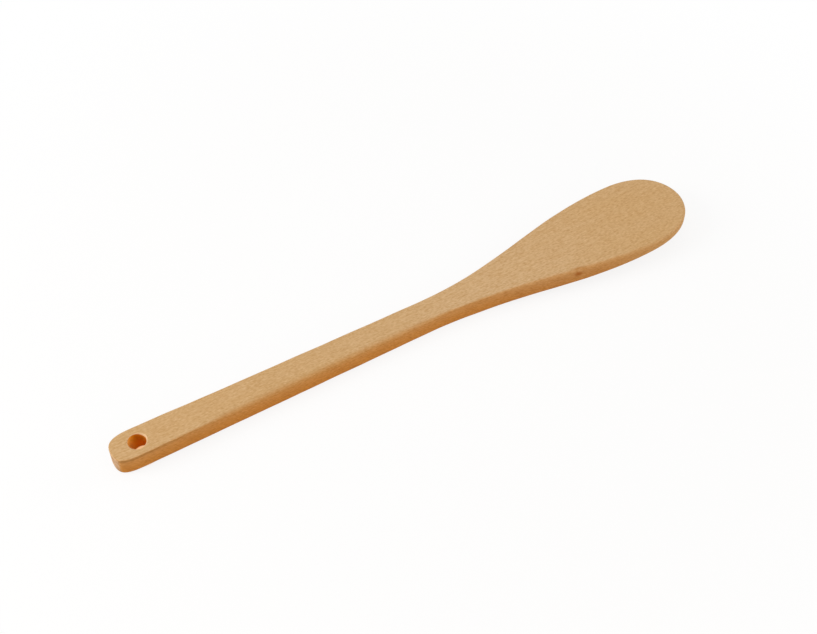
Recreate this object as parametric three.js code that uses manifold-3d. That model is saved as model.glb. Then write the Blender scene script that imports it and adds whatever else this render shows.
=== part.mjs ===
// Wooden spatula: handle, neck and blade in one length of beech, with a hanging hole through the handle.
// Millimetres, +Z up. +X runs from the butt of the handle to the tip of the blade, and the outline is
// the same on both sides of the XZ plane. The handle lies flat on Z = 0, under the middle of the length.

import * as THREE from 'three';
import { mergeVertices } from 'three/addons/utils/BufferGeometryUtils.js';
import Module from 'manifold-3d';

// Lengths, one after another from the butt to the tip
const BUTT_LENGTH = 12.1; // rounded end of the handle
const HANDLE_LENGTH = 142.3; // straight handle, tapering to the neck
const SHOULDER_LENGTH = 115.3; // from the neck out to the widest place of the blade
const NOSE_LENGTH = 30.3; // rounded end of the blade

// Widths
const BUTT_WIDTH = 15.1;
const NECK_WIDTH = 12.4;
const BLADE_WIDTH = 43;

// Heights: the handle keeps the board's thickness, and the blade thins and lifts towards its tip
const BOARD_THICKNESS = 10;
const TIP_THICKNESS = 3.8;
const TIP_LIFT = 2.9; // how far the top face climbs above the handle
const LEVEL_PAST_NECK = 19; // level length that is left beyond the neck
const BEND_LENGTH = 12; // over which the level faces turn into the blade's slopes
const NOSE_TURN = 0.43; // how far each face turns in at the tip, past its straight slope
const NOSE_TURN_LENGTH = 50;

// Rounded arrises, softest where the hand holds the spatula
const EDGE_RADIUS = 1;
const GRIP_EDGE_RADIUS = 2.2;
const GRIP_FROM_BUTT = 120; // middle of the softened stretch
const GRIP_REACH = 65; // from that middle to where the softening ends, each way
const NOSE_EDGE_RADIUS = 1.5;
const EDGE_SHARE = 0.45; // largest share of the wood's thickness that one arris takes

// Hanging hole
const HOLE_DIAMETER = 8;
const HOLE_FROM_BUTT = 12;
const HOLE_RIM_RADIUS = 0.5;
const CUT_CLEARANCE = 2; // how far the cutter stands out of each face

// How full the outline's curves are: the length of each curve's handle as a share of its own stretch
const BUTT_END_PULL = 0.71;
const BUTT_SIDE_PULL = 0.75;
const SHOULDER_NECK_PULL = 0.4;
const SHOULDER_BLADE_PULL = 0.38;
const NOSE_SIDE_PULL = 0.82;
const NOSE_END_PULL = 0.36;

// How finely the curves are divided
const BUTT_STEPS = 10;
const HANDLE_STEPS = 14;
const SHOULDER_STEPS = 24;
const NOSE_STEPS = 18;
const EDGE_STEPS = 3;
const HOLE_SIDES = 40;
const HOLE_RIM_STEPS = 2;

// Places along X
const LENGTH = BUTT_LENGTH + HANDLE_LENGTH + SHOULDER_LENGTH + NOSE_LENGTH;
const BUTT_X = -LENGTH / 2;
const HANDLE_X = BUTT_X + BUTT_LENGTH;
const NECK_X = HANDLE_X + HANDLE_LENGTH;
const BLADE_X = NECK_X + SHOULDER_LENGTH;
const TIP_X = BLADE_X + NOSE_LENGTH;
const LEVEL_END_X = NECK_X + LEVEL_PAST_NECK;
const NOSE_TURN_X = TIP_X - NOSE_TURN_LENGTH;
const GRIP_X = BUTT_X + GRIP_FROM_BUTT;
const HOLE_X = BUTT_X + HOLE_FROM_BUTT;

// Share of the blade's climb that is reached at x: level, then a bend, then a straight slope to 1 at the tip.
function climb(x) {
  const run = Math.max(0, x - LEVEL_END_X);
  const risen = run < BEND_LENGTH ? run ** 2 / (2 * BEND_LENGTH) : run - BEND_LENGTH / 2;
  return risen / (TIP_X - LEVEL_END_X - BEND_LENGTH / 2);
}

// Share of the nose's turn that is reached at x.
function noseTurn(x) {
  return (Math.max(0, x - NOSE_TURN_X) / NOSE_TURN_LENGTH) ** 2;
}

function topHeight(x) {
  return BOARD_THICKNESS + (TIP_LIFT + NOSE_TURN) * climb(x) - NOSE_TURN * noseTurn(x);
}

function undersideHeight(x) {
  const tipHeight = BOARD_THICKNESS + TIP_LIFT - TIP_THICKNESS;
  return (tipHeight - NOSE_TURN) * climb(x) + NOSE_TURN * noseTurn(x);
}

// Radius of the rounded arris at x, limited by the wood that is there.
function edgeRadius(x) {
  const gripDistance = Math.min(1, Math.abs(x - GRIP_X) / GRIP_REACH);
  const grip = Math.cos((gripDistance * Math.PI) / 2) ** 2;
  const nose = THREE.MathUtils.smoothstep(x, BLADE_X, TIP_X);
  const softened = grip * (GRIP_EDGE_RADIUS - EDGE_RADIUS) + nose * (NOSE_EDGE_RADIUS - EDGE_RADIUS);
  const thickness = topHeight(x) - undersideHeight(x);
  return Math.min(EDGE_RADIUS + softened, EDGE_SHARE * thickness);
}

// One side of the outline from the butt to the tip, as x and half width. Its curves meet without corners.
function sideOutline() {
  const buttHalf = BUTT_WIDTH / 2;
  const neckHalf = NECK_WIDTH / 2;
  const bladeHalf = BLADE_WIDTH / 2;
  const taper = (neckHalf - buttHalf) / HANDLE_LENGTH;
  const buttPull = BUTT_LENGTH * BUTT_SIDE_PULL;
  const neckPull = SHOULDER_LENGTH * SHOULDER_NECK_PULL;
  const bladePull = SHOULDER_LENGTH * SHOULDER_BLADE_PULL;
  const nosePull = NOSE_LENGTH * NOSE_SIDE_PULL;

  const side = new THREE.Path();
  side.moveTo(BUTT_X, 0);
  side.bezierCurveTo(
    BUTT_X, buttHalf * BUTT_END_PULL,
    HANDLE_X - buttPull, buttHalf - taper * buttPull,
    HANDLE_X, buttHalf,
  );
  side.lineTo(NECK_X, neckHalf);
  side.bezierCurveTo(
    NECK_X + neckPull, neckHalf + taper * neckPull,
    BLADE_X - bladePull, bladeHalf,
    BLADE_X, bladeHalf,
  );
  side.bezierCurveTo(
    BLADE_X + nosePull, bladeHalf,
    TIP_X, bladeHalf * NOSE_END_PULL,
    TIP_X, 0,
  );
  return side;
}

// Points along one side of the outline, each with its outward direction and its arris radius.
function outlineStations() {
  const steps = [BUTT_STEPS, HANDLE_STEPS, SHOULDER_STEPS, NOSE_STEPS];
  const stations = [];
  sideOutline().curves.forEach((curve, stretch) => {
    for (let step = 0; step < steps[stretch]; step += 1) {
      const along = step / steps[stretch];
      const point = curve.getPoint(along);
      const tangent = curve.getTangent(along);
      const outward = new THREE.Vector2(-tangent.y, tangent.x);
      stations.push({ point, outward, radius: edgeRadius(point.x) });
    }
  });
  stations[0].outward.set(-1, 0);
  const tip = new THREE.Vector2(TIP_X, 0);
  stations.push({ point: tip, outward: new THREE.Vector2(1, 0), radius: edgeRadius(TIP_X) });
  return stations;
}

// One ring round the spatula, along the near side to the tip and back along the far side. The turn goes from 0,
// where the arris meets the side, to a right angle, where it meets the face. Inward is the way into the wood.
function edgeRing(stations, faceHeight, inward, turn) {
  const nearSide = stations.map(({ point, outward, radius }) => {
    const inset = radius * (1 - Math.cos(turn));
    const x = point.x - outward.x * inset;
    const halfWidth = point.y - outward.y * inset;
    const z = faceHeight(x) + inward * radius * (1 - Math.sin(turn));
    return new THREE.Vector3(x, -halfWidth, z);
  });
  const farSide = nearSide.slice(1, -1).reverse().map(({ x, y, z }) => new THREE.Vector3(x, -y, z));
  return [...nearSide, ...farSide];
}

// The solid spatula before its hole is drilled: rings from the underside up to the top face, closed by
// strips that run straight across.
function beechBlank() {
  const stations = outlineStations();
  const turns = Array.from({ length: EDGE_STEPS + 1 }, (_, step) => (step / EDGE_STEPS) * (Math.PI / 2));
  const lowerRings = turns.toReversed().map((turn) => edgeRing(stations, undersideHeight, 1, turn));
  const upperRings = turns.map((turn) => edgeRing(stations, topHeight, -1, turn));
  const rings = [...lowerRings, ...upperRings];

  const ringSize = rings[0].length;
  const topRing = (rings.length - 1) * ringSize;
  const indices = [];
  for (let lower = 0; lower < topRing; lower += ringSize) {
    for (let near = 0; near < ringSize; near += 1) {
      const next = (near + 1) % ringSize;
      const upper = lower + ringSize;
      indices.push(lower + near, lower + next, upper + next);
      indices.push(lower + near, upper + next, upper + near);
    }
  }
  for (let near = 0; near < stations.length - 1; near += 1) {
    const nextNear = near + 1;
    const nextFar = ringSize - nextNear;
    const far = (ringSize - near) % ringSize;
    if (nextNear !== nextFar) {
      indices.push(topRing + near, topRing + nextNear, topRing + nextFar);
      indices.push(near, nextFar, nextNear);
    }
    if (near !== far) {
      indices.push(topRing + near, topRing + nextFar, topRing + far);
      indices.push(near, far, nextFar);
    }
  }

  const geometry = new THREE.BufferGeometry().setFromPoints(rings.flat());
  geometry.setIndex(indices);
  return geometry;
}

// What the drill takes away: a round bar that flares where the hole's rims are rounded.
function holeCutter() {
  const radius = HOLE_DIAMETER / 2;
  const mouth = radius + HOLE_RIM_RADIUS;
  const profile = new THREE.Path();
  profile.moveTo(0, -CUT_CLEARANCE);
  profile.lineTo(mouth, -CUT_CLEARANCE);
  profile.lineTo(mouth, 0);
  profile.absarc(mouth, HOLE_RIM_RADIUS, HOLE_RIM_RADIUS, -Math.PI / 2, -Math.PI, true);
  profile.absarc(mouth, BOARD_THICKNESS - HOLE_RIM_RADIUS, HOLE_RIM_RADIUS, Math.PI, Math.PI / 2, true);
  profile.lineTo(mouth, BOARD_THICKNESS + CUT_CLEARANCE);
  profile.lineTo(0, BOARD_THICKNESS + CUT_CLEARANCE);
  const cutter = new THREE.LatheGeometry(profile.getPoints(HOLE_RIM_STEPS), HOLE_SIDES);
  cutter.rotateX(Math.PI / 2);
  cutter.translate(HOLE_X, 0, 0);
  return cutter;
}

const wasm = await Module();
wasm.setup();

// A closed geometry as a solid that can be cut.
function toSolid(geometry) {
  geometry.deleteAttribute('normal');
  geometry.deleteAttribute('uv');
  const merged = mergeVertices(geometry);
  const corners = merged.index.array;
  const triVerts = [];
  for (let first = 0; first < corners.length; first += 3) {
    const [a, b, c] = corners.slice(first, first + 3);
    if (a !== b && b !== c && c !== a) triVerts.push(a, b, c);
  }
  const vertProperties = new Float32Array(merged.getAttribute('position').array);
  return new wasm.Manifold(new wasm.Mesh({ numProp: 3, vertProperties, triVerts: new Uint32Array(triVerts) }));
}

function toGeometry(solid) {
  const mesh = solid.getMesh();
  const geometry = new THREE.BufferGeometry();
  geometry.setAttribute('position', new THREE.BufferAttribute(mesh.vertProperties, mesh.numProp));
  geometry.setIndex(new THREE.BufferAttribute(mesh.triVerts, 1));
  geometry.computeVertexNormals();
  return geometry;
}

const drilled = toSolid(beechBlank()).subtract(toSolid(holeCutter()));

const beech = new THREE.MeshStandardMaterial({ color: 0xcca574, roughness: 0.6, metalness: 0 });

const spatula = new THREE.Mesh(toGeometry(drilled), beech);
spatula.name = 'spatula';

const woodenSpatula = new THREE.Group();
woodenSpatula.add(spatula);

export default woodenSpatula;
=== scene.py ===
# %% [markdown]
# A wooden spatula in Blender.
# The real one is a single length of beech: handle, neck and blade are sawn, planed and sanded from one
# board, and a hole is drilled through the handle to hang it by. Its CAD solid has the true size and the
# main curves, in coarse facets. Here the same spatula is made again with smooth curves, sanded edges and
# the wood itself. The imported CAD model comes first, and its box is kept: the new spatula stays inside it.

# %% Load the frame
import math

import bmesh
import bpy
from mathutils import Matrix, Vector, kdtree, noise


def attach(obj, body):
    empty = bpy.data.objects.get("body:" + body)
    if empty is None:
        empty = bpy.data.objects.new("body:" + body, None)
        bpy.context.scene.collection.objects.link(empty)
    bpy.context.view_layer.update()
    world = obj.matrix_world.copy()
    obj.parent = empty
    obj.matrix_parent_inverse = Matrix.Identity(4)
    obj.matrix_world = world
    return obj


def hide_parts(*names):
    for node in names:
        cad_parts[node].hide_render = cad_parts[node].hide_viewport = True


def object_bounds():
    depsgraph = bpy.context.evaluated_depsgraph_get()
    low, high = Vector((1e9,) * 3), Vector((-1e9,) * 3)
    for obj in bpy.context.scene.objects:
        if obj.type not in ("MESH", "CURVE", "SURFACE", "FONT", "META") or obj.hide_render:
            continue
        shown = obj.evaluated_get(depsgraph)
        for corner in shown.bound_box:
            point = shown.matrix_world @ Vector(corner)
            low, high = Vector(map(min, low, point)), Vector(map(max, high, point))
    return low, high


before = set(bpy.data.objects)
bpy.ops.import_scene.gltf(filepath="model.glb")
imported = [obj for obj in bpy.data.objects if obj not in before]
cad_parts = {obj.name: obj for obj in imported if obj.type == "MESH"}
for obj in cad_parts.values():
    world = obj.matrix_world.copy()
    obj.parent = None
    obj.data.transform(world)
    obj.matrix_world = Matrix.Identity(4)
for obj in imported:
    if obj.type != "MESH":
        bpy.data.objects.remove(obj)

MM = 0.001
cad_low, cad_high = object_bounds()
print("CAD box, low corner:", cad_low[:], "high corner:", cad_high[:])

# %% [markdown]
# The camera stands where the photograph was taken: in front of the handle and to its left, looking down at
# about 51 degrees. A camera could be turned by hand until it looks right. The height, turn, distance and
# focal length of this one were fitted to the spatula's outline in the picture beforehand, so they are plain
# values here.

# %% Camera
PHOTO_WIDTH_PX = 817
FOCAL_LENGTH_PX = 1326.8
CAMERA_TURN = math.radians(-30.308)
CAMERA_ELEVATION = math.radians(50.774)
CAMERA_DISTANCE = 620.82 * MM
CAMERA_TARGET = Vector((0.553 * MM, 7.401 * MM, 0))
SENSOR_WIDTH = 36

towards_camera = Vector((
    math.sin(CAMERA_TURN) * math.cos(CAMERA_ELEVATION),
    -math.cos(CAMERA_TURN) * math.cos(CAMERA_ELEVATION),
    math.sin(CAMERA_ELEVATION),
))
bpy.ops.object.select_all(action="DESELECT")
bpy.ops.object.camera_add(
    location=CAMERA_TARGET + towards_camera * CAMERA_DISTANCE,
    rotation=(-towards_camera).to_track_quat("-Z", "Y").to_euler(),
)
camera = bpy.context.object
camera.data.sensor_width = SENSOR_WIDTH
camera.data.lens = FOCAL_LENGTH_PX * SENSOR_WIDTH / PHOTO_WIDTH_PX
bpy.context.scene.camera = camera
print("camera at", camera.location[:], "with a lens of", round(camera.data.lens, 2), "mm")

# %% [markdown]
# A maker draws the outline on the board before sawing it. It could be traced with many short lines, but
# eight points are enough for curves that meet without corners: the butt, the tip, and on each side the end
# of the rounded butt, the neck and the widest place of the blade. A Bezier circle has four points, and one
# subdivision gives eight, so it is the quickest start. Each point is then put in its place, with handles
# that lie along the outline there. The near corner of the butt is a little squarer than the far one.

# %% Places along the spatula
BUTT_X = cad_low.x
TIP_X = cad_high.x
BLADE_HALF = cad_high.y
HANDLE_X = BUTT_X + 12.1 * MM
NECK_X = HANDLE_X + 142.3 * MM
BLADE_X = TIP_X - 30.3 * MM
BUTT_HALF = 7.55 * MM
NECK_HALF = 6.2 * MM
print("neck at", round(NECK_X / MM, 1), "mm and widest place at", round(BLADE_X / MM, 1), "mm along X")

# %% Curve of eight points
bpy.ops.object.select_all(action="DESELECT")
bpy.ops.curve.primitive_bezier_circle_add(radius=BLADE_HALF, location=(0, 0, 0))
spatula = bpy.context.object
spatula.name = "beech_spatula"
bpy.ops.object.mode_set(mode="EDIT")
bpy.ops.curve.select_all(action="SELECT")
bpy.ops.curve.subdivide(number_cuts=1)
bpy.ops.object.mode_set(mode="OBJECT")
points = spatula.data.splines[0].bezier_points
print("curve of", len(points), "points")

# %% Points put in their places
FAR_END_PULL = 5.36 * MM
FAR_SIDE_PULL = 9.08 * MM
NEAR_END_PULL = 6.0 * MM
NEAR_SIDE_PULL = 9.8 * MM
NECK_PULL = 46.12 * MM
BLADE_PULL = 43.81 * MM
NOSE_SIDE_PULL = 24.85 * MM
NOSE_END_PULL = 7.74 * MM


def place_point(point, x, y, before, after):
    point.handle_left_type = "FREE"
    point.handle_right_type = "FREE"
    point.co = (x, y, 0)
    point.handle_left = (x + before[0], y + before[1], 0)
    point.handle_right = (x + after[0], y + after[1], 0)


taper = (NECK_HALF - BUTT_HALF) / (NECK_X - HANDLE_X)
third = (NECK_X - HANDLE_X) / 3
side_points = (
    (HANDLE_X, BUTT_HALF, taper, FAR_SIDE_PULL, third),
    (NECK_X, NECK_HALF, taper, third, NECK_PULL),
    (BLADE_X, BLADE_HALF, 0, BLADE_PULL, NOSE_SIDE_PULL),
)
place_point(points[0], BUTT_X, 0, (0, -NEAR_END_PULL), (0, FAR_END_PULL))
place_point(points[4], TIP_X, 0, (0, NOSE_END_PULL), (0, -NOSE_END_PULL))
for number, (x, half, slope, towards_butt, towards_tip) in enumerate(side_points, start=1):
    back = (-towards_butt, -slope * towards_butt)
    forth = (towards_tip, slope * towards_tip)
    place_point(points[number], x, half, back, forth)
    place_point(points[-number], x, -half, (forth[0], -forth[1]), (back[0], -back[1]))
points[-1].handle_right.x = HANDLE_X - NEAR_SIDE_PULL
print("handle tapers by", round(-2 * taper * 100, 2), "mm in 100 mm")

# %% Outline as a mesh
STEPS_PER_CURVE = 48

spatula.data.resolution_u = STEPS_PER_CURVE
bpy.ops.object.convert(target="MESH")
outline = [vertex.co.copy() for vertex in spatula.data.vertices]
print("outline of", len(outline), "points")

# %% [markdown]
# The saw follows the outline through a planed board. A curve can be extruded as it is, but the edges of a
# mesh can be picked by their place, so the outline is a mesh by now: it is filled with one face, and the
# face is extruded to the board's thickness. All edges of the two faces then get a small bevel of equal
# width: the sharp arrises that the saw leaves are always broken, because sharp wood splinters.

# %% Select by a test
def select_only(kind, test):
    bpy.ops.mesh.select_mode(type=kind)
    bpy.ops.mesh.select_all(action="DESELECT")
    shape = bmesh.from_edit_mesh(bpy.context.object.data)
    items = {"EDGE": shape.edges, "FACE": shape.faces}[kind]
    chosen = [item for item in items if test(item)]
    for item in chosen:
        item.select_set(True)
    bmesh.update_edit_mesh(bpy.context.object.data)
    return len(chosen)


# %% Board cut to the outline
BOARD_THICKNESS = 10 * MM

bpy.ops.object.mode_set(mode="EDIT")
bpy.ops.mesh.select_all(action="SELECT")
bpy.ops.mesh.edge_face_add()
bpy.ops.mesh.extrude_region_move(TRANSFORM_OT_translate={"value": (0, 0, BOARD_THICKNESS)})
bpy.ops.mesh.select_all(action="SELECT")
bpy.ops.mesh.normals_make_consistent(inside=False)
print("board", round(BOARD_THICKNESS / MM, 1), "mm thick")

# %% Broken arrises
ARRIS = 1 * MM
ARRIS_STEPS = 6
ROUND_PROFILE = 0.5
SAME_HEIGHT = 0.001 * MM


def level(edge):
    return abs(edge.verts[0].co.z - edge.verts[1].co.z) < SAME_HEIGHT


broken = select_only("EDGE", level)
bpy.ops.mesh.bevel(offset=ARRIS, segments=ARRIS_STEPS, profile=ROUND_PROFILE, affect="EDGES")
print("board with", broken, "edges broken")

# %% [markdown]
# The blade isn't flat along its length: it thins and lifts towards the tip. A flat face can't bend, so it
# is first cut across into narrow strips. Subdividing the face would add points along its rim too, and the
# bisect tool doesn't: it makes one cut at each pair of points that face each other across the blade. The
# handle needs none, because it stays as flat as the board was.

# %% Cross cuts over the blade
LEVEL_END_X = NECK_X + 19 * MM
LAST_CUT_X = TIP_X - 2.5 * MM
CUT_SNAP = 0.002 * MM
FLAT_FACING = 0.9999


def flat_face(face):
    return abs(face.normal.z) > FLAT_FACING


shape = bmesh.from_edit_mesh(spatula.data)
top_face = max(filter(flat_face, shape.faces), key=lambda face: face.calc_center_median().z)
cuts = sorted(v.co.x for v in top_face.verts if v.co.y > 0 and LEVEL_END_X < v.co.x < LAST_CUT_X)
for x in cuts:
    select_only("FACE", flat_face)
    bpy.ops.mesh.bisect(plane_co=(x, 0, 0), plane_no=(1, 0, 0), threshold=CUT_SNAP)
bpy.ops.object.mode_set(mode="OBJECT")
print(len(cuts), "cross cuts,", len(spatula.data.polygons), "faces")

# %% [markdown]
# Planing and sanding follow the saw, and they are done by feel: the blade is planed down on both faces,
# and sandpaper takes more off the arrises where the hand grips the handle and where the blade meets the
# food. The far side is sanded less, the arris by the butt stays crisp, and the near edge of the blade
# leans in a little. Operators move many points alike, and here each point moves by its own amount, so this
# one step goes through the mesh points in code. A point on an arris slides away from the sharp corner that
# stood there, in proportion to the radius that sanding left, and both faces move to their new heights.

# %% Heights of the two faces along the blade
TIP_THICKNESS = 3.8 * MM
TIP_LIFT = 2.9 * MM
BEND_LENGTH = 12 * MM
NOSE_TURN = 0.43 * MM
NOSE_TURN_X = TIP_X - 50 * MM


def climb(x):
    run = max(0, x - LEVEL_END_X)
    risen = run**2 / (2 * BEND_LENGTH) if run < BEND_LENGTH else run - BEND_LENGTH / 2
    return risen / (TIP_X - LEVEL_END_X - BEND_LENGTH / 2)


def nose_turn(x):
    return NOSE_TURN * (max(0, x - NOSE_TURN_X) / (TIP_X - NOSE_TURN_X)) ** 2


def top_height(x):
    return BOARD_THICKNESS + (TIP_LIFT + NOSE_TURN) * climb(x) - nose_turn(x)


def underside_height(x):
    return (BOARD_THICKNESS + TIP_LIFT - TIP_THICKNESS - NOSE_TURN) * climb(x) + nose_turn(x)


print("blade tip from", round(underside_height(TIP_X) / MM, 2), "to", round(top_height(TIP_X) / MM, 2), "mm")

# %% Radius of the upper arris
GRIP_X = BUTT_X + 104 * MM
GRIP_REACH = 70 * MM
GRIP_FADE = 34 * MM
GRIP_ARRIS = 3 * MM
NOSE_X = BLADE_X - 88 * MM
NOSE_FADE = 45 * MM
NOSE_ARRIS = 2.2 * MM
CRISP_X = BUTT_X + 28 * MM
CRISP_FADE = 12 * MM
CRISP_ARRIS = 0.6 * MM
FAR_SHARE = 0.15


def fade(distance, length):
    share = min(1, max(0, distance / length))
    return share * share * (3 - 2 * share)


def upper_radius(corner):
    grip = fade(GRIP_REACH - abs(corner.x - GRIP_X), GRIP_FADE)
    nose = fade(corner.x - NOSE_X, NOSE_FADE)
    more = grip * (GRIP_ARRIS - ARRIS) + nose * (NOSE_ARRIS - ARRIS)
    less = (ARRIS - CRISP_ARRIS) * (1 - fade(corner.x - CRISP_X, CRISP_FADE))
    return ARRIS - less + more * (FAR_SHARE if corner.y > 0 else 1)


grip_corner = Vector((GRIP_X, -NECK_HALF, 0))
print("upper arris of", round(upper_radius(grip_corner) / MM, 2), "mm in the grip")

# %% Radius that uneven sanding leaves
# No arris takes more than its share of the thickness.
UPPER_SHARE = 0.3
LOWER_SHARE = 0.165
LOWER_ARRIS = 1.4 * MM
SANDING_STROKE = 13 * MM
SANDING_UNEVENNESS = 0.18
NOISE_ROW = 3


def arris_radius(corner, upper):
    thickness = top_height(corner.x) - underside_height(corner.x)
    if upper:
        radius = min(upper_radius(corner), UPPER_SHARE * thickness)
    else:
        radius = min(LOWER_ARRIS, LOWER_SHARE * thickness)
    # Each arris reads the noise in a row of its own, so that no two waver alike.
    row = NOISE_ROW if upper else -NOISE_ROW
    stroke = Vector((corner.x / SANDING_STROKE, math.copysign(1, corner.y), row))
    return radius * (1 + SANDING_UNEVENNESS * noise.noise(stroke))


print("lower arris of", round(arris_radius(grip_corner, False) / MM, 2), "mm in the grip")

# %% Lean of the near edge
LEAN = 0.7 * MM
LEAN_START_X = NECK_X + 4 * MM
LEAN_RISE = 65 * MM
LEAN_END_X = BLADE_X - 7 * MM
LEAN_FALL = 25 * MM


def edge_lean(corner):
    if corner.y > 0:
        return 0
    return LEAN * fade(corner.x - LEAN_START_X, LEAN_RISE) * fade(LEAN_END_X - corner.x, LEAN_FALL)


print("near edge leans in by up to", round(LEAN / MM, 2), "mm")

# %% Plane the blade and sand the arrises
ARRIS_REACH = 1.1 * ARRIS

corners = kdtree.KDTree(len(outline))
for index, corner in enumerate(outline):
    corners.insert(corner, index)
corners.balance()

for vertex in spatula.data.vertices:
    upper = vertex.co.z > BOARD_THICKNESS / 2
    face_z = BOARD_THICKNESS if upper else 0
    corner, _, inset = corners.find((vertex.co.x, vertex.co.y, 0))
    if inset < ARRIS_REACH:
        corner = Vector((corner.x, corner.y, face_z))
        sanded = arris_radius(corner, upper) / ARRIS
        vertex.co = corner + (vertex.co - corner) * sanded
        vertex.co.y += edge_lean(corner) * vertex.co.z / BOARD_THICKNESS
    if upper:
        vertex.co.z += top_height(vertex.co.x) - BOARD_THICKNESS
    else:
        vertex.co.z += underside_height(vertex.co.x)
    vertex.co.z = min(vertex.co.z, cad_high.z)
spatula.data.update()
print("sanded", len(spatula.data.vertices), "points")

# %% [markdown]
# The hanging hole is drilled through the handle, 12 mm from its end, and the drill wandered a little on its
# way down. The rims are eased so that they don't cut the string. The upper one is eased more on one side,
# and rubbed at one place. A hole could be part of the outline from the start, but then it would run straight
# down. So it is drilled through the sanded handle, as the real one was: a cylinder stands for the drill, a
# Boolean takes it away, the two rims are bevelled, and the points of the upper bevel move away from the
# rim's corner where it is worn.

# %% Drill the hanging hole
HOLE_X = BUTT_X + 12 * MM
HOLE_RADIUS = 3.9 * MM
HOLE_SIDES = 72
DRILL_CLEARANCE = 2 * MM
DRILL_DRIFT = Vector((1.52 * MM, -0.77 * MM, -BOARD_THICKNESS))


def hole_middle(z):
    return Vector((HOLE_X, 0, BOARD_THICKNESS)) + DRILL_DRIFT * (1 - z / BOARD_THICKNESS)


bpy.ops.object.select_all(action="DESELECT")
bpy.ops.mesh.primitive_cylinder_add(
    vertices=HOLE_SIDES,
    radius=HOLE_RADIUS,
    depth=BOARD_THICKNESS + 2 * DRILL_CLEARANCE,
    location=hole_middle(BOARD_THICKNESS / 2),
    rotation=(-DRILL_DRIFT).to_track_quat("Z", "Y").to_euler(),
)
drill = bpy.context.object
bpy.ops.object.select_all(action="DESELECT")
bpy.context.view_layer.objects.active = spatula
spatula.select_set(True)
drilling = spatula.modifiers.new("drilling", "BOOLEAN")
drilling.operation = "DIFFERENCE"
drilling.solver = "EXACT"
drilling.object = drill
bpy.ops.object.modifier_apply(modifier=drilling.name)
bpy.data.objects.remove(drill)
print("hole of", round(2 * HOLE_RADIUS / MM, 1), "mm, drifting", round(DRILL_DRIFT.xy.length / MM, 2), "mm")

# %% Ease the rims of the hole
UPPER_RIM_EASE = 0.75 * MM
LOWER_RIM_EASE = 0.9 * MM
RIM_STEPS = 4
RIM_SLACK = 1.03


def on_rim(edge, height):
    reach = max((v.co - hole_middle(height)).length for v in edge.verts)
    offset = max(abs(v.co.z - height) for v in edge.verts)
    return reach < HOLE_RADIUS * RIM_SLACK and offset < SAME_HEIGHT


bpy.ops.object.mode_set(mode="EDIT")
for height, ease in ((BOARD_THICKNESS, UPPER_RIM_EASE), (0, LOWER_RIM_EASE)):
    eased = select_only("EDGE", lambda edge: on_rim(edge, height))
    bpy.ops.mesh.bevel(offset=ease, segments=RIM_STEPS, profile=ROUND_PROFILE, affect="EDGES")
    print("rim of", eased, "edges eased by", round(ease / MM, 2), "mm")
bpy.ops.object.mode_set(mode="OBJECT")

# %% Wear the upper rim
MOST_EASED = Vector((1, -0.5, 0)).normalized()
RIM_UNEVENNESS = 0.55
RUBBED_RIM = Vector((0.956, 0.292, 0))
RUBBED_RIM_GAIN = 0.9
RUBBED_RIM_FOCUS = 8


def rim_wear(outwards):
    uneven = 1 + RIM_UNEVENNESS * outwards.dot(MOST_EASED)
    return uneven + RUBBED_RIM_GAIN * max(0, outwards.dot(RUBBED_RIM)) ** RUBBED_RIM_FOCUS


worn_points = 0
for vertex in spatula.data.vertices:
    middle = hole_middle(vertex.co.z)
    outwards = Vector((vertex.co.x - middle.x, vertex.co.y - middle.y, 0))
    on_ease = outwards.length < HOLE_RADIUS * RIM_SLACK + UPPER_RIM_EASE
    if on_ease and vertex.co.z > BOARD_THICKNESS - UPPER_RIM_EASE * RIM_SLACK:
        outwards.normalize()
        corner = hole_middle(BOARD_THICKNESS) + outwards * HOLE_RADIUS
        vertex.co = corner + (vertex.co - corner) * rim_wear(outwards)
        worn_points += 1
spatula.data.update()
print("upper rim worn at", worn_points, "points")

# %% [markdown]
# Smooth shading hides the small facets, but it would also bend the light on the flat faces next to an
# arris. More cuts beside each arris would cure that, at the cost of many faces. The Weighted Normal
# modifier needs none: it lets the large faces decide, so that the flats look flat.

# %% Even shading
SMOOTH_ANGLE = math.radians(40)
LARGE_FACE_WEIGHT = 100

bpy.ops.object.shade_smooth_by_angle(angle=SMOOTH_ANGLE)
shading = spatula.modifiers.new("even shading", "WEIGHTED_NORMAL")
shading.weight = LARGE_FACE_WEIGHT
shading.keep_sharp = True
bpy.ops.object.modifier_apply(modifier=shading.name)
print("spatula of", sum(len(face.vertices) - 2 for face in spatula.data.polygons), "triangles")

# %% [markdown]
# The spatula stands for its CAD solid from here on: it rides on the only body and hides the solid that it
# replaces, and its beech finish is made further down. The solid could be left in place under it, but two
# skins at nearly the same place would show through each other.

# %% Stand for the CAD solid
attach(spatula, "root")
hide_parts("spatula")
print(spatula.name, "stands for the CAD solid")

# %% [markdown]
# Beech is pale straw with a little pink, and quiet: no bold rings, but many short dark dashes, which are
# the ends of its rays. A picture of wood wrapped round the spatula would show seams at the edges. A solid
# pattern in Object coordinates runs through the wood as the real grain does, so that the faces, the edges
# and the hole's wall all agree. All of it is worked out in millimetres, and turned a little, because no
# board lies quite square to its tree. A few helpers keep each node to a line or two.

# %% Helpers for nodes
def add_node(tree, kind, title, inputs=None, **settings):
    made = tree.nodes.new("ShaderNode" + kind)
    made.label = title
    for setting, value in settings.items():
        setattr(made, setting, value)
    for socket, value in (inputs or {}).items():
        if isinstance(value, bpy.types.NodeSocket):
            tree.links.new(value, made.inputs[socket])
        else:
            made.inputs[socket].default_value = value
    return made


def maths(tree, title, operation, first, second=0.0):
    made = add_node(tree, "Math", title, {0: first, 1: second}, operation=operation)
    return made.outputs["Value"]


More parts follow.
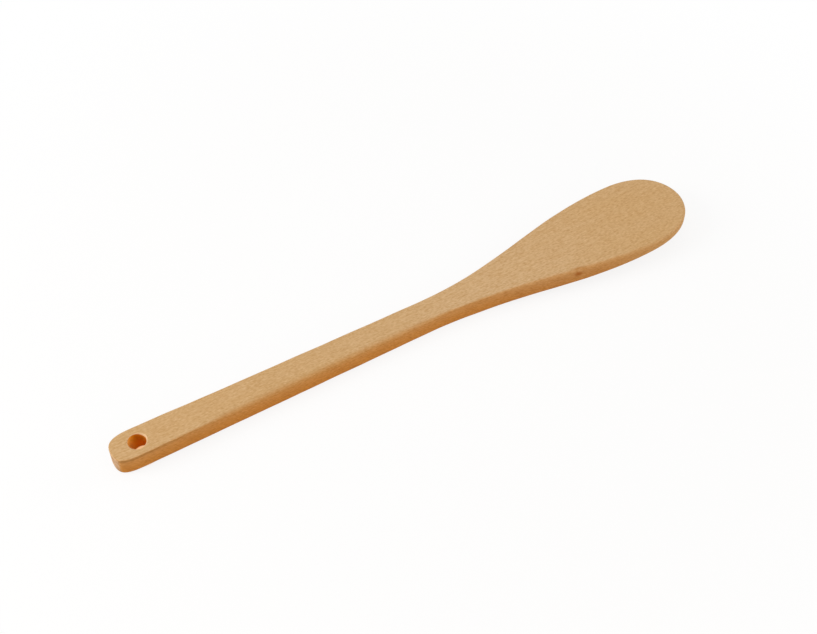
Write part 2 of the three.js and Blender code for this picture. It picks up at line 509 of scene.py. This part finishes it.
def spread(tree, title, value, low, high, to_low=0.0, to_high=1.0):
    limits = {"Value": value, "From Min": low, "From Max": high, "To Min": to_low, "To Max": to_high}
    made = add_node(tree, "MapRange", title, limits, interpolation_type="SMOOTHSTEP")
    return made.outputs["Result"]


def mix_colours(tree, title, share, first, second, blend="MIX"):
    made = add_node(tree, "Mix", title, data_type="RGBA", blend_type=blend)
    for socket, value in zip((made.inputs[0], made.inputs[6], made.inputs[7]), (share, first, second)):
        if isinstance(value, bpy.types.NodeSocket):
            tree.links.new(value, socket)
        elif isinstance(value, tuple):
            socket.default_value = (*value, 1)
        else:
            socket.default_value = value
    return made.outputs[2]


# %% Wood in millimetres
RING_TILT = math.radians(-40)
GRAIN_SKEW = math.radians(4)
IN_MM = (1 / MM, 1 / MM, 1 / MM)

beech = bpy.data.materials.new("beech")
beech.use_nodes = True
wood = beech.node_tree
wood.nodes.clear()
place = add_node(wood, "TexCoord", "place on the spatula")
grain = add_node(wood, "Mapping", "millimetres along the grain", {
    "Vector": place.outputs["Object"],
    "Rotation": (RING_TILT, 0, GRAIN_SKEW),
    "Scale": IN_MM,
}).outputs["Vector"]
print("grain turned by", round(math.degrees(GRAIN_SKEW), 1), "degrees")


# %% Patterns of a given size in the wood
def stretched(title, vector, size):
    scale = [1 / length for length in size]
    return add_node(wood, "Mapping", title, {"Vector": vector, "Scale": scale}).outputs["Vector"]


def noise_texture(title, vector, size, detail, roughness=0.5):
    made = add_node(wood, "TexNoise", title, {
        "Vector": stretched("size of the " + title, vector, size),
        "Scale": 1.0,
        "Detail": detail,
        "Roughness": roughness,
    })
    return made.outputs["Fac"]


def level_length(title, vector):
    flattened = add_node(wood, "VectorMath", "level part", {0: vector, 1: (1, 1, 0)}, operation="MULTIPLY")
    made = add_node(wood, "VectorMath", title, {0: flattened.outputs["Vector"]}, operation="LENGTH")
    return made.outputs["Value"]


# %% [markdown]
# A year's growth ends in a thin, slightly darker line. The lines are rings round the middle of the tree,
# far below the board. A Wave texture can draw rings, but it has only three shapes of wave. So the distance
# from that middle is counted in years here, and the part of the year at each place gives a line that
# darkens slowly and ends at once, as late wood does. A slow wobble keeps the rings from being perfect
# circles, and makes some years wide and some narrow.

# %% Growth rings
PITH_DEPTH = 70
RING_SPACING = 1.05
RING_WOBBLE = 3.0
WOBBLE_SIZE = (80, 22, 22)
LATE_WOOD = (0.45, 0.98)
NEXT_SPRING = (0.98, 1.0)

from_pith = add_node(wood, "Mapping", "from the pith", {
    "Vector": grain,
    "Location": (0, 0, PITH_DEPTH),
    "Scale": (0, 1, 1),
}).outputs["Vector"]
pith_distance = add_node(wood, "VectorMath", "distance from the pith", {0: from_pith}, operation="LENGTH")
years = maths(wood, "years", "DIVIDE", pith_distance.outputs["Value"], RING_SPACING)
wobble = noise_texture("wobble", grain, WOBBLE_SIZE, detail=1.0)
wobble_years = maths(wood, "wobble in years", "MULTIPLY", wobble, RING_WOBBLE)
uneven_years = maths(wood, "uneven years", "ADD", years, wobble_years)
season = maths(wood, "time of the year", "FRACT", uneven_years)
late_wood = spread(wood, "late wood", season, *LATE_WOOD)
early_wood = spread(wood, "next spring", season, *NEXT_SPRING, 1.0, 0.0)
ring = maths(wood, "ring line", "MULTIPLY", late_wood, early_wood)
print("a ring about every", RING_SPACING, "mm")

# %% [markdown]
# Rays are thin ribbons that run from the middle of the tree outwards. Cut across, as on the top of the
# spatula, they are short dark dashes along the grain. Cut along, as on its edges, they are wider flecks.
# A noise would give streaks with no clear ends. Voronoi cells that are long along the grain, thin across it
# and deep towards the middle give both kinds, and each cell brings a random tone for its ray.

# %% Ray flecks
FLECK_SIZE = (1.8, 0.5, 3)
FLECK_EDGE = (0.15, 0.7)

cells = add_node(wood, "TexVoronoi", "rays", {
    "Vector": stretched("size of the rays", grain, FLECK_SIZE),
    "Scale": 1.0,
})
spindle = spread(wood, "spindle", cells.outputs["Distance"], *FLECK_EDGE, 1.0, 0.0)
own_tone = add_node(wood, "SeparateColor", "each ray's own tone", {"Color": cells.outputs["Color"]})
fleck = maths(wood, "fleck", "MULTIPLY", spindle, own_tone.outputs["Red"])
print("rays in cells of", FLECK_SIZE, "mm")

# %% [markdown]
# Between the rays lie fibres and pores too fine to see one by one. They show as faint streaks along the
# grain and as a dry, slightly rough surface. Each could be a pattern of its own for every use, but then the
# dull places wouldn't be the dark ones, so the same two noises serve the colour, the gloss and the bump.

# %% Fibres and pores
FIBRE_SIZE = (22, 0.55, 0.55)
FIBRE_ROUGHNESS = 0.6
PORE_SIZE = (1.5, 0.5, 0.5)

fibres = noise_texture("fibres", grain, FIBRE_SIZE, detail=3.0, roughness=FIBRE_ROUGHNESS)
pores = noise_texture("pores", grain, PORE_SIZE, detail=2.0)
print("fibres", FIBRE_SIZE[0], "mm and pores", PORE_SIZE[0], "mm long")

# %% [markdown]
# The ground tone isn't even either. This board is palest just past the neck and a little yellower towards
# the tip and the grip, and it pales again at the butt. A slow drift lies on top, as sapwood has. A noise
# alone would put the pale places anywhere, so the change along the board is worked out from the place
# along it, and only the drift is a noise.

# %% Ground tone
STRAW_PALE = (0.658, 0.449, 0.25)
STRAW_DEEP = (0.616, 0.39, 0.179)
PALEST_X = BUTT_X + 185 * MM
DEEPEST_REACH = 95 * MM
PALER_BUTT = (BUTT_X + 18 * MM, BUTT_X + 75 * MM)
BUTT_DEPTH = 0.72
DRIFT_SIZE = (55, 9, 9)
DRIFT_RANGE = (0.25, 0.75)
DRIFT_SHARE = 0.35

position = add_node(wood, "SeparateXYZ", "along and up", {"Vector": place.outputs["Object"]})
along = position.outputs["X"]
up = position.outputs["Z"]
from_palest = maths(wood, "from the palest place", "SUBTRACT", along, PALEST_X)
reach = maths(wood, "reach", "ABSOLUTE", from_palest)
deepening = spread(wood, "deepening", reach, 0.0, DEEPEST_REACH, 0.0, 1 - DRIFT_SHARE)
past_butt = spread(wood, "past the butt", along, *PALER_BUTT, BUTT_DEPTH, 1.0)
deepening = maths(wood, "paler butt", "MULTIPLY", deepening, past_butt)
drift = noise_texture("drift", grain, DRIFT_SIZE, detail=2.0)
drifting = spread(wood, "slow drift", drift, *DRIFT_RANGE, 0.0, DRIFT_SHARE)
tone = maths(wood, "tone", "ADD", deepening, drifting)
colour = mix_colours(wood, "straw", tone, STRAW_PALE, STRAW_DEEP)
print("palest at", round(PALEST_X / MM, 1), "mm along X")

# %% [markdown]
# The finer things go on one over the other: the year lines, the fibres, the pores with the pale wood
# between them, and the ray flecks on top. One Colour Ramp could hold all the tones of one pattern, but there
# are four patterns here, so each is mixed in by its own share and can be made fainter by itself. The fibres
# are strongest on the shoulder and the blade, and faintest at the tip.

# %% Rings and fibres in the colour
RING_BROWN = (0.52, 0.295, 0.11)
RING_SHARE = 0.22
FIBRE_DARK = (0.53, 0.31, 0.12)
FIBRE_RANGE = (0.45, 0.7)
HANDLE_FIBRES = 0.35
BLADE_FIBRES = 0.55
BLADE_FIBRES_FROM = (BUTT_X + 140 * MM, BUTT_X + 195 * MM)
TIP_FIBRES = 0.45
TIP_FIBRES_FROM = (TIP_X - 65 * MM, TIP_X - 35 * MM)

ring_share = maths(wood, "faint rings", "MULTIPLY", ring, RING_SHARE)
colour = mix_colours(wood, "with rings", ring_share, colour, RING_BROWN)
fibre_share = spread(wood, "fibre streaks", fibres, *FIBRE_RANGE)
streaky = spread(wood, "streaky blade", along, *BLADE_FIBRES_FROM, HANDLE_FIBRES, BLADE_FIBRES)
fibre_share = maths(wood, "faint fibres", "MULTIPLY", fibre_share, streaky)
plain_tip = spread(wood, "plain tip", along, *TIP_FIBRES_FROM, 1.0, TIP_FIBRES)
fibre_share = maths(wood, "fainter at the tip", "MULTIPLY", fibre_share, plain_tip)
colour = mix_colours(wood, "with fibres", fibre_share, colour, FIBRE_DARK)
print("rings at a share of", RING_SHARE, "and fibres at up to", BLADE_FIBRES)

# %% Pores and flecks in the colour
PORE_DARK = (0.49, 0.275, 0.095)
PORE_RANGE = (0.5, 0.25)
PORE_SHARE = 0.62
PORE_PALE = (0.75, 0.53, 0.3)
PALE_RANGE = (0.5, 0.75)
PALE_SHARE = 0.47
FLECK_BROWN = (0.47, 0.26, 0.085)
FLECK_SHARE = 0.6

pore_share = spread(wood, "faint pores", pores, *PORE_RANGE, 0.0, PORE_SHARE)
colour = mix_colours(wood, "with pores", pore_share, colour, PORE_DARK)
pale_share = spread(wood, "pale between pores", pores, *PALE_RANGE, 0.0, PALE_SHARE)
colour = mix_colours(wood, "with pale wood", pale_share, colour, PORE_PALE)
fleck_share = maths(wood, "faint flecks", "MULTIPLY", fleck, FLECK_SHARE)
colour = mix_colours(wood, "with flecks", fleck_share, colour, FLECK_BROWN)
print("pores at a share of up to", PORE_SHARE, "and flecks at up to", FLECK_SHARE)

# %% [markdown]
# The butt shows end grain. It is a paler peach, and the year lines stand out as slanting strokes. Its
# upper arris gets a pale painted highlight. A second material on the faces of the end would stop at a hard
# line. The direction that the surface faces tells the end from the sides as well, and it turns slowly round
# the corner, so the peach fades out there.

# %% End grain of the butt
END_PEACH = (0.595, 0.42, 0.29)
END_PEACH_SHARE = 0.85
END_TURN = (-0.86, -0.62)
END_BROWN = (0.38, 0.2, 0.07)
END_STROKE_SIZE = (6, 4, 0.9)
END_STROKE_RANGE = (0.46, 0.66)
END_STROKE_SHARE = 0.75
END_STROKE_FACING = (-0.12, -0.4)

facing = add_node(wood, "SeparateXYZ", "facing", {"Vector": place.outputs["Normal"]})
facing_tip = facing.outputs["X"]
facing_up = facing.outputs["Z"]
end_share = spread(wood, "end of the butt", facing_tip, *END_TURN, END_PEACH_SHARE, 0.0)
colour = mix_colours(wood, "with the peach end", end_share, colour, END_PEACH)
end_noise = noise_texture("end strokes", grain, END_STROKE_SIZE, detail=2.0)
end_strokes = spread(wood, "strokes", end_noise, *END_STROKE_RANGE)
end_grain = spread(wood, "end grain", facing_tip, *END_STROKE_FACING, 0.0, END_STROKE_SHARE)
end_strokes = maths(wood, "strokes on the end", "MULTIPLY", end_grain, end_strokes)
colour = mix_colours(wood, "with end strokes", end_strokes, colour, END_BROWN)
print("end strokes", END_STROKE_SIZE[2], "mm wide")

# %% Painted highlight on the arris of the end
ARRIS_HIGHLIGHT_PALE = (0.8, 0.58, 0.36)
ARRIS_HIGHLIGHT_LOW = (0.3, 0.55)
ARRIS_HIGHLIGHT_HIGH = (0.8, 0.97)
ARRIS_HIGHLIGHT_FACING = (-0.5, -0.8)
ARRIS_HIGHLIGHT_SHARE = 0.75

# Painted highlight: a pale line along the upper arris of the end.
over_side = spread(wood, "over the side", facing_up, *ARRIS_HIGHLIGHT_LOW)
under_top = spread(wood, "under the top", facing_up, *ARRIS_HIGHLIGHT_HIGH, 1.0, 0.0)
at_butt = spread(wood, "towards the butt", facing_tip, *ARRIS_HIGHLIGHT_FACING, 0.0, ARRIS_HIGHLIGHT_SHARE)
painted_highlight = maths(wood, "arris", "MULTIPLY", over_side, under_top)
painted_highlight = maths(wood, "arris of the end", "MULTIPLY", painted_highlight, at_butt)
colour = mix_colours(wood, "with the rubbed arris", painted_highlight, colour, ARRIS_HIGHLIGHT_PALE)
print("arris of the end rubbed at a share of up to", ARRIS_HIGHLIGHT_SHARE)

# %% [markdown]
# The long edges carry painted warm shade: they are tinted a deeper honey than the planed faces, for the
# warm shade on sides that face away from the top light. A second material would stop at a line here too,
# so the direction that the surface faces tells an edge from a face again. The painted shade fades in over
# the rounded arris, sooner on the blade than on the handle, and grows downwards and on the lower arris,
# towards the floor. Towards the nose, whose edge is lit from the right, it fades out. It is multiplied in,
# so that the grain still shows.

# %% Where the long edges are
SHOULDER = (BUTT_X + 165 * MM, BUTT_X + 225 * MM)
EDGE_FACING = (0.27, 1.04)
LOWER_ARRIS_SHADE_GAIN = 1.7
BLADE_GAIN = 1.4
LIT_NOSE_FADE = (TIP_X - 64 * MM, TIP_X - 22 * MM)

sideways = level_length("sideways", place.outputs["Normal"])
# Painted shade: the lower arris, which faces the floor, gets more of the warm shade tint.
downwards = spread(wood, "downwards", facing_up, 0.0, -1.0, 1.0, LOWER_ARRIS_SHADE_GAIN)
sideways = maths(wood, "sideways or below", "MULTIPLY", sideways, downwards)
blade_gain = spread(wood, "sooner on the blade", along, *SHOULDER, 1.0, BLADE_GAIN)
sideways = maths(wood, "sideways or on the blade", "MULTIPLY", sideways, blade_gain)
long_edge = spread(wood, "edge", sideways, *EDGE_FACING)
# The painted shade fades out before the nose, whose edge is lit from the right.
shade_before_lit_nose = spread(wood, "before the nose", along, *LIT_NOSE_FADE, 1.0, 0.0)
long_edge = maths(wood, "edge before the nose", "MULTIPLY", long_edge, shade_before_lit_nose)
beside_end = spread(wood, "beside the end", facing_tip, *END_TURN)
long_edge = maths(wood, "edge beside the end", "MULTIPLY", long_edge, beside_end)
print("long edges counted up to", round(LIT_NOSE_FADE[1] / MM, 1), "mm along X")

# %% Painted warm shade of the long edges
HANDLE_SHADE_TINT = (0.99, 0.74, 0.37)
BLADE_SHADE_TINT = (0.9, 0.68, 0.39)
SHADE_TINT_HEIGHT = (2.5 * MM, BOARD_THICKNESS)
LEAST_SHADE_TINT = 0.55

# Painted shade, deepest near the floor and weakest by the upper arris.
shade_deepest_below = spread(wood, "deepest below", up, *SHADE_TINT_HEIGHT, 1.0, LEAST_SHADE_TINT)
painted_shade = maths(wood, "honey by height", "MULTIPLY", long_edge, shade_deepest_below)
past_neck = spread(wood, "past the neck", along, *SHOULDER)
shade_tint = mix_colours(wood, "honey tone", past_neck, HANDLE_SHADE_TINT, BLADE_SHADE_TINT)
colour = mix_colours(wood, "with honey edges", painted_shade, colour, shade_tint, blend="MULTIPLY")
print("honey at a share of", LEAST_SHADE_TINT, "by the upper arris and 1 below")

# %% [markdown]
# Near the butt a thin darker line runs just below the upper arris on the edges. It is strongest at the
# corner and fades along the handle. It could be painted on by hand, but a few limits place it as well and
# can be changed later: above one height, below another, near the butt, and only on the edge.

# %% Darker line at the butt
BUTT_LINE_DARK = (0.48, 0.46, 0.38)
BUTT_LINE_SHARE = 0.5
BUTT_LINE_LOW = (BOARD_THICKNESS - 2.1 * MM, BOARD_THICKNESS - 1.1 * MM)
BUTT_LINE_HIGH = (BOARD_THICKNESS - 0.45 * MM, BOARD_THICKNESS - 0.15 * MM)
BUTT_LINE_FADE = (BUTT_X, BUTT_X + 52 * MM)

# A thin darker line just below the upper arris, near the butt.
above = spread(wood, "above the scorch's foot", up, *BUTT_LINE_LOW)
below = spread(wood, "below the arris", up, *BUTT_LINE_HIGH, 1.0, 0.0)
fading = spread(wood, "fades along", along, *BUTT_LINE_FADE, BUTT_LINE_SHARE, 0.0)
dark_line = maths(wood, "line", "MULTIPLY", above, below)
dark_line = maths(wood, "fading line", "MULTIPLY", dark_line, fading)
dark_line = maths(wood, "line on the edge", "MULTIPLY", dark_line, long_edge)
colour = mix_colours(wood, "with the scorch", dark_line, colour, BUTT_LINE_DARK, blend="MULTIPLY")
print("darker line fades out at", round(BUTT_LINE_FADE[1] / MM, 1), "mm along X")

# %% [markdown]
# The edges are held against a sanding drum, which leaves slanting strokes across the grain. They could be
# grooves in the mesh, but they are finer than its faces and show only by their tone. So they are a noise
# again, long along the stroke, and laid only where the painted warm shade of the edges is.

# %% Slanting strokes of the drum
STROKE_SLANT = math.radians(-50)
STROKE_SIZE = (5, 20, 0.7)
STROKE_RANGE = (0.45, 0.75)
STROKE_SHARE = 0.36
STROKE_DARK = (0.42, 0.17, 0.035)

slanted = add_node(wood, "Mapping", "millimetres along the strokes", {
    "Vector": place.outputs["Object"],
    "Rotation": (0, STROKE_SLANT, 0),
    "Scale": IN_MM,
}).outputs["Vector"]
strokes = noise_texture("drum strokes", slanted, STROKE_SIZE, detail=1.0)
stroke_share = spread(wood, "faint strokes", strokes, *STROKE_RANGE, 0.0, STROKE_SHARE)
# The strokes are laid only where the painted warm shade is.
stroke_share = maths(wood, "strokes on edges", "MULTIPLY", stroke_share, painted_shade)
colour = mix_colours(wood, "with strokes", stroke_share, colour, STROKE_DARK)
print("strokes slant by", round(math.degrees(STROKE_SLANT)), "degrees")

# %% [markdown]
# The wall of the hole is painted a deep amber, as painted shade of the recess, and darker in its upper
# part, as painted shadow under the rim. The part of the wall that faces the tip is a yellower tone. The
# wall could have a material of its own, but that would end in a line at the rim. Of all that is near the
# hole's middle, only the wall faces sideways, so that picks it out. The eased rim leans inwards, and it is
# painted paler than the top, as a painted highlight round the hole.

# %% Where the hole's wall and rim are
NEAR_HOLE = (5.5 * MM, 6.5 * MM)
WALL_FACING = (0.08, 0.35)
RIM_FACING = (0.75, 0.98)

from_hole = add_node(wood, "VectorMath", "from the hole", {
    0: place.outputs["Object"],
    1: hole_middle(BOARD_THICKNESS / 2),
}, operation="SUBTRACT").outputs["Vector"]
hole_distance = level_length("distance from the hole's middle", from_hole)
near_hole = spread(wood, "near the hole", hole_distance, *NEAR_HOLE, 1.0, 0.0)
upright = maths(wood, "up or down", "ABSOLUTE", facing_up)
wall = spread(wood, "faces sideways", upright, *WALL_FACING, 1.0, 0.0)
amber = maths(wood, "hole's wall", "MULTIPLY", near_hole, wall)
leaning = spread(wood, "leans inwards", upright, *RIM_FACING, 1.0, 0.0)
rim_highlight = maths(wood, "pale rim", "MULTIPLY", near_hole, leaning)
print("hole's finish reaches", round(NEAR_HOLE[1] / MM, 1), "mm from its middle")

# %% Painted shade on the hole's wall and painted highlight on its rim
UPPER_HOLE_SHADE = (0.62, 0.2, 0.006)
LOWER_HOLE_SHADE = (0.97, 0.33, 0.01)
HOLE_SHADE_DEPTH = (8 * MM, 2 * MM)
TIP_SIDE_AMBER = (0.95, 0.42, 0.014)
TIP_SIDE_FACING = (-0.3, 0.6)
TIP_SIDE_SHARE = 0.95
RIM_HIGHLIGHT_PALE = (0.8, 0.56, 0.32)

# Painted shade of the recess: deep amber, darker in the upper part as painted shadow under the rim.
deep = spread(wood, "deep in the hole", up, *HOLE_SHADE_DEPTH)
hole_shade_tone = mix_colours(wood, "amber tone", deep, UPPER_HOLE_SHADE, LOWER_HOLE_SHADE)
# The wall is given a yellower amber where it faces the tip.
worn = spread(wood, "side facing the tip", facing_tip, *TIP_SIDE_FACING, 0.0, TIP_SIDE_SHARE)
hole_shade_tone = mix_colours(wood, "yellower amber facing the tip", worn, hole_shade_tone, TIP_SIDE_AMBER)
# Painted highlight: the eased rim round the hole is paler than the top.
colour = mix_colours(wood, "with the pale rim", rim_highlight, colour, RIM_HIGHLIGHT_PALE)
colour = mix_colours(wood, "with the amber wall", amber, colour, hole_shade_tone)
print("amber grows lighter down to", round(HOLE_SHADE_DEPTH[1] / MM, 1), "mm above the underside")

# %% [markdown]
# One pin knot shows on the near edge of the blade, just under the top arris: the trace of a twig, with a
# small darker smear above it. A noise can't put a spot at one place, so each is a spot by distance from its
# own middle, longer along the edge than across it.

# %% Darker spot
SPOT_HEART = 0.2
SPOT_END = 1.2


def add_spot(title, colour, middle, size, turn, share, brown):
    in_sizes = add_node(wood, "Mapping", "in sizes of the " + title, {
        "Vector": place.outputs["Object"],
        "Location": middle,
        "Rotation": (0, 0, turn),
        "Scale": size,
    }, vector_type="TEXTURE").outputs["Vector"]
    distance = add_node(wood, "VectorMath", "distance from the " + title, {0: in_sizes}, operation="LENGTH")
    spot = spread(wood, title, distance.outputs["Value"], SPOT_HEART, SPOT_END, share, 0.0)
    return mix_colours(wood, "with the " + title, spot, colour, brown)


# %% Pin knot
ALONG_EDGE = math.radians(-11)
SMEAR_MIDDLE = (TIP_X - 70 * MM, -15.3 * MM, 11.4 * MM)
SMEAR_SIZE = (3.8 * MM, 0.75 * MM, 1.2 * MM)
SMEAR_BROWN = (0.44, 0.2, 0.05)
SMEAR_SHARE = 0.7
KNOT_MIDDLE = (TIP_X - 70.7 * MM, -17.2 * MM, 8.9 * MM)
KNOT_SIZE = (2.8 * MM, 1.9 * MM, 1.8 * MM)
KNOT_BROWN = (0.35, 0.1, 0.004)
KNOT_SHARE = 0.75

colour = add_spot("smear", colour, SMEAR_MIDDLE, SMEAR_SIZE, ALONG_EDGE, SMEAR_SHARE, SMEAR_BROWN)
colour = add_spot("knot", colour, KNOT_MIDDLE, KNOT_SIZE, ALONG_EDGE, KNOT_SHARE, KNOT_BROWN)
print("knot at", round(KNOT_MIDDLE[0] / MM, 1), "mm along X")

# %% [markdown]
# Sanded and lightly oiled beech is dull, and dullest between the rays, which were cut clean and shine a
# little. The relief of pores and fibres is a few hundredths of a millimetre deep. In the mesh it would take
# millions of faces, so a Bump node bends the light instead.

# %% Gloss and relief
FIBRE_GLOSS_RANGE = (0.3, 0.8)
SHINIEST = 0.64
DULLEST = 0.82
RAY_SHINE = 0.1
RELIEF = 0.05 * MM
RELIEF_STRENGTH = 0.35

dull = spread(wood, "dull fibres", fibres, *FIBRE_GLOSS_RANGE, SHINIEST, DULLEST)
ray_shine = maths(wood, "ray shine", "MULTIPLY", fleck, RAY_SHINE)
roughness = maths(wood, "roughness", "SUBTRACT", dull, ray_shine)
relief = add_node(wood, "Bump", "relief", {
    "Height": maths(wood, "fibre and pore height", "ADD", fibres, pores),
    "Strength": RELIEF_STRENGTH,
    "Distance": RELIEF,
})
print("roughness from", round(SHINIEST - RAY_SHINE, 2), "to", DULLEST)

# %% Beech on the spatula
WOOD_IOR = 1.45
WOOD_SPECULAR = 0.2

surface = add_node(wood, "BsdfPrincipled", "beech", {
    "Base Color": colour,
    "Roughness": roughness,
    "Normal": relief.outputs["Normal"],
    "IOR": WOOD_IOR,
    "Specular IOR Level": WOOD_SPECULAR,
})
add_node(wood, "OutputMaterial", "output", {"Surface": surface.outputs["BSDF"]})
spatula.data.materials.clear()
spatula.data.materials.append(beech)
print("beech of", len(wood.nodes), "nodes")

# %% [markdown]
# The spatula lies on a plain pale floor that runs out into a white background. More light could make the
# floor white, but it would bleach the wood too. So to the camera and in reflections the floor is white by
# itself, with a small share near the spatula that the lamps light, which keeps a soft shadow. To the light
# that bounces it is an ordinary pale cream surface. Under the hole its own white is tinted warm, a painted
# pool of the light that the hole's walls throw down, and from below it is clear, so that the underside can
# be looked at.

# %% Rays that see the background
def sees_background(tree):
    rays = add_node(tree, "LightPath", "kind of ray")
    camera_ray = rays.outputs["Is Camera Ray"]
    shown = maths(tree, "camera or glossy", "MAXIMUM", camera_ray, rays.outputs["Is Glossy Ray"])
    return maths(tree, "or transmission", "MAXIMUM", shown, rays.outputs["Is Transmission Ray"])


# %% Floor
FLOOR_SIZE = 6
FLOOR_GAP = 0.2 * MM

bpy.ops.object.select_all(action="DESELECT")
bpy.ops.mesh.primitive_plane_add(size=FLOOR_SIZE, location=(0, 0, -FLOOR_GAP))
floor = bpy.context.object
floor.name = "floor"
pale = bpy.data.materials.new("pale floor")
pale.use_nodes = True
ground = pale.node_tree
ground.nodes.clear()
floor.data.materials.append(pale)
print("floor of", FLOOR_SIZE, "m")

# %% Floor as the camera sees it
WHITE = (1.0, 1.0, 1.0)
PAINTED_HOLE_LIGHT = (1.0, 0.55, 0.27)
PAINTED_HOLE_LIGHT_REACH = (4.5 * MM, 7 * MM)
FLOOR_WHITE = (0.95, 0.95, 0.95)
SHADOW_REACH = (0.14, 0.34)
LEAST_WHITE = 0.86

floor_place = add_node(ground, "TexCoord", "place on the floor").outputs["Object"]
from_light = add_node(ground, "VectorMath", "from the light through the hole", {
    0: floor_place,
    1: hole_middle(0),
}, operation="DISTANCE").outputs["Value"]
# Painted light: under the hole the floor's own white takes a warm tint.
through_hole = spread(ground, "through the hole", from_light, *PAINTED_HOLE_LIGHT_REACH, 1.0, 0.0)
floor_tone = mix_colours(ground, "own tone", through_hole, WHITE, PAINTED_HOLE_LIGHT)
way_out = add_node(ground, "VectorMath", "way out", {0: floor_place}, operation="LENGTH").outputs["Value"]
lit = add_node(ground, "BsdfDiffuse", "lit by the lamps", {"Color": (*FLOOR_WHITE, 1)})
glow = add_node(ground, "Emission", "white by itself", {"Color": floor_tone, "Strength": 1.0})
seen_floor = add_node(ground, "MixShader", "as the camera sees it", {
    0: spread(ground, "own white", way_out, *SHADOW_REACH, LEAST_WHITE, 1.0),
    1: lit.outputs[0],
    2: glow.outputs[0],
})
print("floor white by itself at a share of", LEAST_WHITE, "near the spatula")

# %% Floor to bounced light and from below
FLOOR_CREAM = (0.84, 0.67, 0.45)

bounce = add_node(ground, "BsdfDiffuse", "as bounced light sees it", {"Color": (*FLOOR_CREAM, 1)})
from_above = add_node(ground, "MixShader", "from above", {
    0: sees_background(ground),
    1: bounce.outputs[0],
    2: seen_floor.outputs[0],
})
lower_side = add_node(ground, "NewGeometry", "upper or lower side").outputs["Backfacing"]
clear = add_node(ground, "BsdfTransparent", "clear from below")
both_sides = add_node(ground, "MixShader", "both sides", {
    0: lower_side,
    1: from_above.outputs[0],
    2: clear.outputs[0],
})
add_node(ground, "OutputMaterial", "output", {"Surface": both_sides.outputs[0]})
print("pale floor of", len(ground.nodes), "nodes")

# %% [markdown]
# The room is a soft studio: a white ceiling overhead and dim warm walls. One grey all round would light the
# edges as much as the top. With a bright ceiling the top face is lit evenly, and the edges stay in warm
# shade. To the camera the room is plain white, like the floor.

# %% Room
CEILING = (0.58, 0.58, 0.58)
WALLS = (0.39, 0.295, 0.195)
WALL_TOP = 0.15
CEILING_EDGE = 0.75

studio = bpy.data.worlds.new("studio")
bpy.context.scene.world = studio
studio.use_nodes = True
room = studio.node_tree
room.nodes.clear()
direction = add_node(room, "TexCoord", "direction")
upwards = add_node(room, "SeparateXYZ", "upwards", {"Vector": direction.outputs["Generated"]})
overhead = spread(room, "overhead", upwards.outputs["Z"], WALL_TOP, CEILING_EDGE)
room_colour = mix_colours(room, "walls and ceiling", overhead, WALLS, CEILING)
room_light = add_node(room, "Background", "soft light", {"Color": room_colour, "Strength": 1.0})
room_white = add_node(room, "Background", "white to the camera", {"Color": (*WHITE, 1), "Strength": 1.0})
room_look = add_node(room, "MixShader", "room", {
    0: sees_background(room),
    1: room_light.outputs[0],
    2: room_white.outputs[0],
})
add_node(room, "OutputWorld", "output", {"Surface": room_look.outputs[0]})
print("room of", len(room.nodes), "nodes")

# %% [markdown]
# Four soft lamps do the rest. The key stands to the left of the picture, nearer to the butt than to the tip,
# so the handle's end is a little brighter than the blade. The overhead one evens out the top face, the one
# on the right lights the edge round the nose, and a warm one in front fills the shade on the near edge. A
# sun or a point lamp would throw a hard shadow. Each of these is a large square, which throws a soft one.

# %% Soft lamp
def add_lamp(name, lamp_place, size, power, colour=WHITE):
    bpy.ops.object.select_all(action="DESELECT")
    aim = (-lamp_place).to_track_quat("-Z", "Y").to_euler()
    bpy.ops.object.light_add(type="AREA", location=lamp_place, rotation=aim)
    lamp = bpy.context.object
    lamp.name = name
    lamp.data.size = size
    lamp.data.energy = power
    lamp.data.color = colour
    lamp.visible_camera = False
    print(name, "at", lamp_place[:], "with", power, "W")


# %% Lamps
KEY_PLACE = Vector((-0.95, 0.3, 0.6))
KEY_SIZE = 0.6
KEY_POWER = 7.0
TOP_PLACE = Vector((0.0, 0.25, 1.2))
TOP_SIZE = 1.0
TOP_POWER = 1.5
RIGHT_PLACE = Vector((1.0, -0.1, 0.35))
RIGHT_SIZE = 0.5
RIGHT_POWER = 2.5
FILL_PLACE = Vector((0.05, -1.0, 0.3))
FILL_SIZE = 0.7
FILL_POWER = 1.95
FILL_WARM = (1.0, 0.7, 0.42)

add_lamp("key_lamp", KEY_PLACE, KEY_SIZE, KEY_POWER)
add_lamp("overhead_lamp", TOP_PLACE, TOP_SIZE, TOP_POWER)
add_lamp("right_lamp", RIGHT_PLACE, RIGHT_SIZE, RIGHT_POWER)
add_lamp("warm_fill", FILL_PLACE, FILL_SIZE, FILL_POWER, FILL_WARM)

# %% [markdown]
# The picture is shown as it is rendered: Blender's usual film curve would dull the wood, so the plain
# Standard view takes its place.

# %% Finish
bpy.context.scene.view_settings.view_transform = "Standard"
